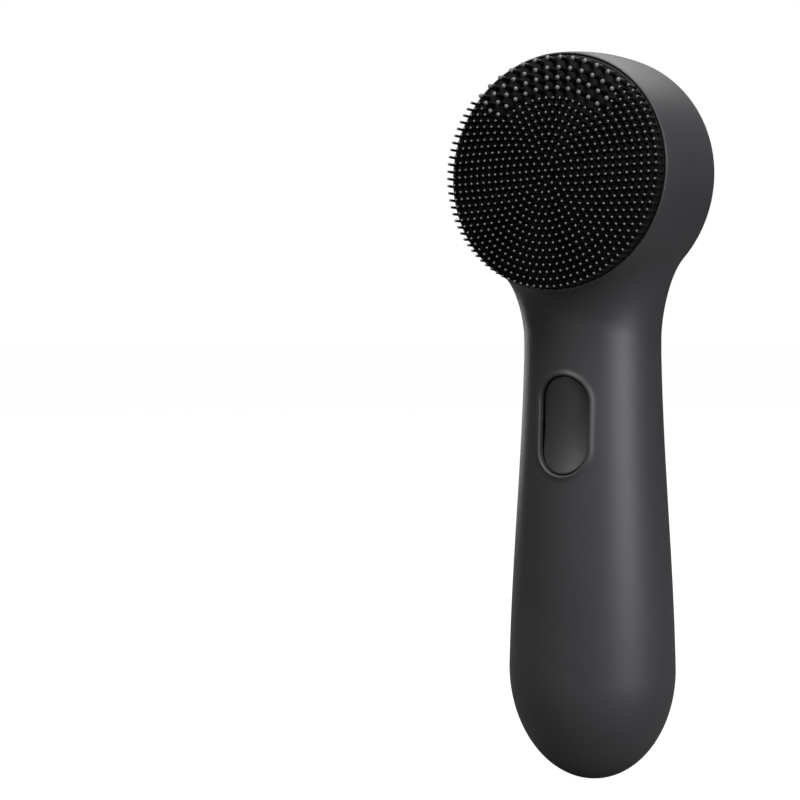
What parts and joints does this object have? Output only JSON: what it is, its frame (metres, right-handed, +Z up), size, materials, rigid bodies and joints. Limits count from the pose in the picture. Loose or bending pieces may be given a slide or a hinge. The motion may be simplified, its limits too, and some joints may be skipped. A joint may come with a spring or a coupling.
{
  "type": "facial cleansing brush",
  "caption": "Handheld facial cleansing brush with a round silicone bristle head, a tapered round grip, a front push button and a rear charging flap.",
  "frame": {"origin": "centre of the small flat base, on the grip's axis", "axes": "+Z up along the grip to the brush head, -Y out of the brush face, +X to the right as the brush face is looked at"},
  "size_m": [0.0554, 0.0435, 0.1649],
  "materials": {
    "soft_touch": "matte soft-touch silicone, charcoal",
    "bristle_silicone": "satin black silicone",
    "gloss_black": "polished black",
    "flap_soft": "matte soft-touch silicone, dark charcoal",
    "core_plastic": "moulded, dark grey",
    "white_plastic": "moulded, off-white",
    "seal_rubber": "moulded seal rubber",
    "steel": "plain steel",
    "nickel": "nickel plated",
    "bronze": "sintered bronze",
    "copper_winding": "enamelled copper winding",
    "cell_wrap": "heat-shrink wrap, blue",
    "board": "solder-masked laminate, green",
    "chip": "moulded epoxy, black",
    "foam": "closed-cell foam, dark grey",
    "lead_red": "insulated wire, red",
    "lead_black": "insulated wire, black"
  },
  "bodies": {
    "housing": {"outer_sleeve": "soft_touch", "core_front": "core_plastic", "core_rear": "core_plastic", "core_screws": "steel", "brush_pad": "bristle_silicone", "pad_plate": "white_plastic", "head_gasket": "seal_rubber", "motor_cradle": "white_plastic", "cradle_screws": "steel", "motor_rings": "seal_rubber", "motor_can": "steel", "motor_end_cap": "white_plastic", "motor_bushes": "bronze", "motor_leads": "lead_red", "button_seal": "seal_rubber", "switch_body": "chip", "main_board": "board", "board_chips": "chip", "battery_cell": "cell_wrap", "battery_carrier": "white_plastic", "battery_tabs": "nickel", "battery_foam": "foam", "battery_leads": "lead_black", "rear_panel": "gloss_black", "charge_board": "board", "charging_socket": "nickel", "port_leads": "lead_black", "hinge_pin": "steel"},
    "button": {"button_cap": "soft_touch"},
    "plunger": {"switch_plunger": "white_plastic"},
    "rotor": {"motor_shaft": "steel", "motor_armature": "copper_winding", "eccentric_weight": "steel"},
    "flap": {"port_flap": "flap_soft"}
  },
  "joints": [
    {"name": "button_press", "type": "slide", "parent": "housing", "child": "button", "axis": [0, 1, 0], "range_m": [0, 0.0005], "stiffness_N_per_m": 2000, "springref_m": -0.0005},
    {"name": "switch_press", "type": "slide", "parent": "housing", "child": "plunger", "axis": [0, 1, 0], "range_m": [0, 0.0005]},
    {"name": "motor_spin", "type": "hinge", "parent": "housing", "child": "rotor", "pos_m": [0, -0.0045, 0.13], "axis": [0, 0, 1], "continuous": true},
    {"name": "flap_hinge", "type": "hinge", "parent": "housing", "child": "flap", "pos_m": [0, 0.0185, 0.02235], "axis": [-1, 0, 0], "range_deg": [0, 90]}
  ],
  "couplings": [
    {"joint": "switch_press", "follows": "button_press", "ratio": 1}
  ]
}
